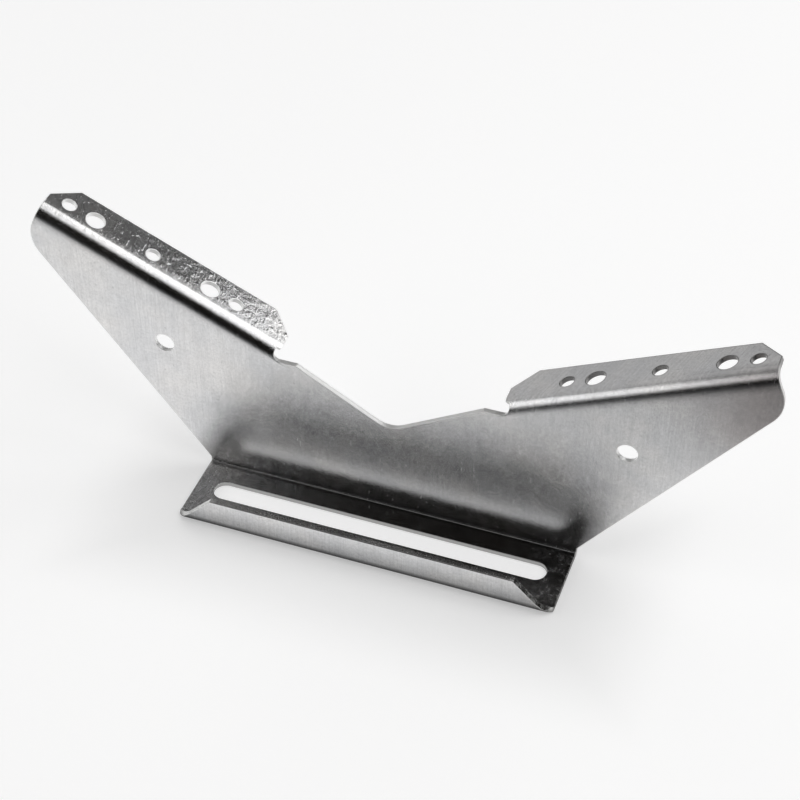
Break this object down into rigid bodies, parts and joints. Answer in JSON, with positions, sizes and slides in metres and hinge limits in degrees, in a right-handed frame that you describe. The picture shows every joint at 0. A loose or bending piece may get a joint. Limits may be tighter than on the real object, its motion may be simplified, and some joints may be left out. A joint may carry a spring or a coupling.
{
  "type": "roof bracket",
  "caption": "Folded sheet-steel roof bracket: slotted channel, upright web with a V-shaped top, and holed flanges that lie along the slopes of a roof.",
  "frame": {"origin": "middle of the bounding box's floor: on the plane of the base's underside, in the bracket's plane of symmetry, half-way between the lip's outer face and the flanges' free edges", "axes": "+X along the base and its slot, -Y from the web towards the lip, +Y towards the flanges' free edges, +Z from the base up the web to the wings"},
  "size_m": [0.34, 0.064, 0.1315],
  "materials": {
    "galvanised_steel": "semi-gloss zinc, lightly scratched"
  },
  "bodies": {
    "root": {"bracket_plate": "galvanised_steel"}
  },
  "joints": []
}
